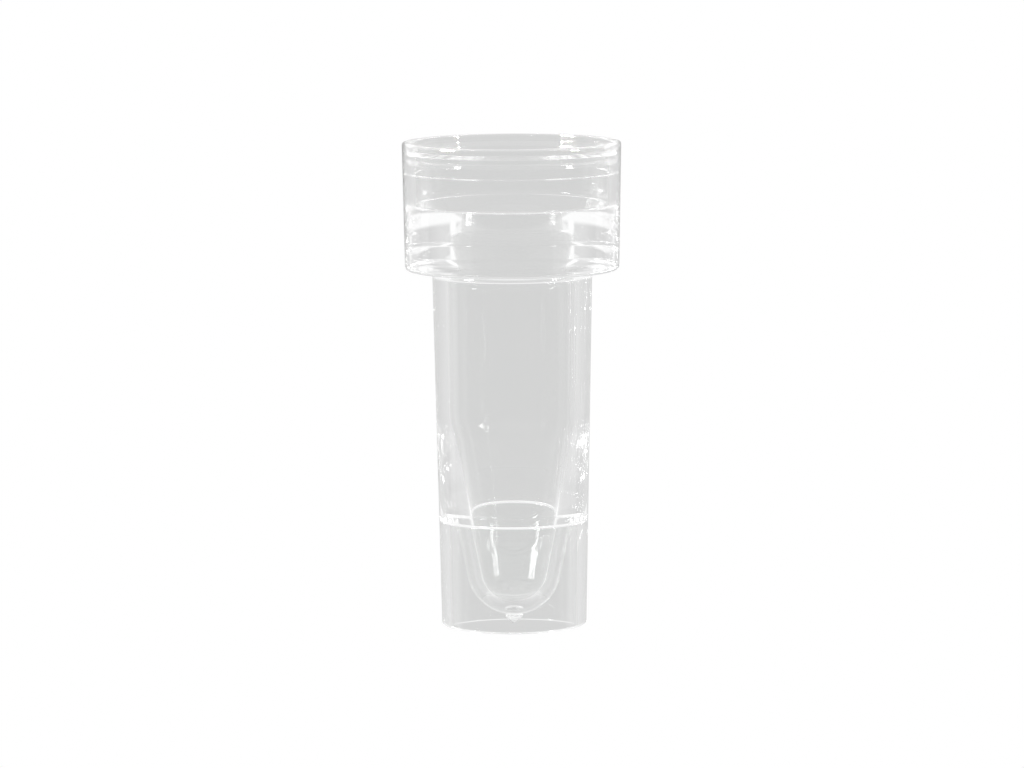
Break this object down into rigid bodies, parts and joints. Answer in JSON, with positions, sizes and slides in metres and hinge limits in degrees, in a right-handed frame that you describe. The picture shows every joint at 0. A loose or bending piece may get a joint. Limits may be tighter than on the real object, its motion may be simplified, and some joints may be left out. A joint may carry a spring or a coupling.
{
  "type": "analyser sample cup",
  "caption": "Clear open sample cup: wide collar on a slim drafted barrel, conical round-bottomed well inside, hollow skirt to stand on.",
  "frame": {"origin": "centre of the foot, on the surface the cup stands on", "axes": "+Z along the cup's axis, towards the open mouth; X and Y across it, with no preferred direction"},
  "size_m": [0.0172, 0.0172, 0.038],
  "materials": {
    "clear_polystyrene": "clear, polished, faint grey"
  },
  "bodies": {
    "root": {"rim_lip": "clear_polystyrene", "cap_bead": "clear_polystyrene", "cap_seat": "clear_polystyrene", "collar_wall": "clear_polystyrene", "shoulder_ring": "clear_polystyrene", "barrel_wall": "clear_polystyrene", "taper_wall": "clear_polystyrene", "base_skirt": "clear_polystyrene", "well_bottom": "clear_polystyrene", "gate_vestige": "clear_polystyrene"}
  },
  "joints": []
}
